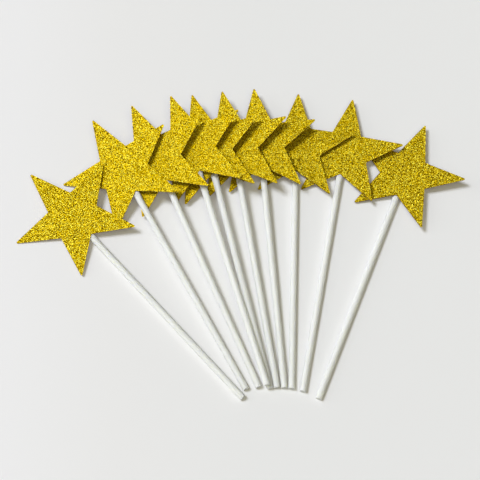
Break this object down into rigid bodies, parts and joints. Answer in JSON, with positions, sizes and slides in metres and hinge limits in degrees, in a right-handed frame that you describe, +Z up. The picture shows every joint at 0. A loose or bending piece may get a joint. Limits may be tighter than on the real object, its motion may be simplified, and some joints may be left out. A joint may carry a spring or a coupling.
{
  "type": "cake topper",
  "caption": "Glitter stars of card on rolled paper sticks, fanned out flat with each star leaning on the next; each stick pushes into a cake to hold its star up.",
  "frame": {"origin": "on the table, under the middle of the fan's box", "axes": "+Z up from the table, +Y from the sticks' feet to the stars, +X to the right as the picture shows it"},
  "size_m": [0.2208, 0.1619, 0.0187],
  "materials": {
    "card": "matte",
    "glitter": "gloss",
    "stick": "matte",
    "glue": "satin"
  },
  "bodies": {
    "topper_01": {"star_card_01": "card", "glitter_face_01": "glitter", "stick_01": "stick", "glue_bead_01": "glue"},
    "topper_02": {"star_card_02": "card", "glitter_face_02": "glitter", "stick_02": "stick", "glue_bead_02": "glue"},
    "topper_03": {"star_card_03": "card", "glitter_face_03": "glitter", "stick_03": "stick", "glue_bead_03": "glue"},
    "topper_04": {"star_card_04": "card", "glitter_face_04": "glitter", "stick_04": "stick", "glue_bead_04": "glue"},
    "topper_05": {"star_card_05": "card", "glitter_face_05": "glitter", "stick_05": "stick", "glue_bead_05": "glue"},
    "topper_06": {"star_card_06": "card", "glitter_face_06": "glitter", "stick_06": "stick", "glue_bead_06": "glue"},
    "topper_07": {"star_card_07": "card", "glitter_face_07": "glitter", "stick_07": "stick", "glue_bead_07": "glue"},
    "topper_08": {"star_card_08": "card", "glitter_face_08": "glitter", "stick_08": "stick", "glue_bead_08": "glue"},
    "topper_09": {"star_card_09": "card", "glitter_face_09": "glitter", "stick_09": "stick", "glue_bead_09": "glue"},
    "topper_10": {"star_card_10": "card", "glitter_face_10": "glitter", "stick_10": "stick", "glue_bead_10": "glue"}
  },
  "joints": [
    {"name": "lift_09", "type": "slide", "parent": "topper_10", "child": "topper_09", "axis": [0, 0, 1], "range_m": [0, 0.02]},
    {"name": "lift_08", "type": "slide", "parent": "topper_09", "child": "topper_08", "axis": [0, 0, 1], "range_m": [0, 0.02]},
    {"name": "lift_07", "type": "slide", "parent": "topper_08", "child": "topper_07", "axis": [0, 0, 1], "range_m": [0, 0.02]},
    {"name": "lift_06", "type": "slide", "parent": "topper_07", "child": "topper_06", "axis": [0, 0, 1], "range_m": [0, 0.02]},
    {"name": "lift_05", "type": "slide", "parent": "topper_06", "child": "topper_05", "axis": [0, 0, 1], "range_m": [0, 0.02]},
    {"name": "lift_04", "type": "slide", "parent": "topper_05", "child": "topper_04", "axis": [0, 0, 1], "range_m": [0, 0.02]},
    {"name": "lift_03", "type": "slide", "parent": "topper_04", "child": "topper_03", "axis": [0, 0, 1], "range_m": [0, 0.02]},
    {"name": "lift_02", "type": "slide", "parent": "topper_03", "child": "topper_02", "axis": [0, 0, 1], "range_m": [0, 0.02]},
    {"name": "lift_01", "type": "slide", "parent": "topper_02", "child": "topper_01", "axis": [0, 0, 1], "range_m": [0, 0.02]}
  ]
}
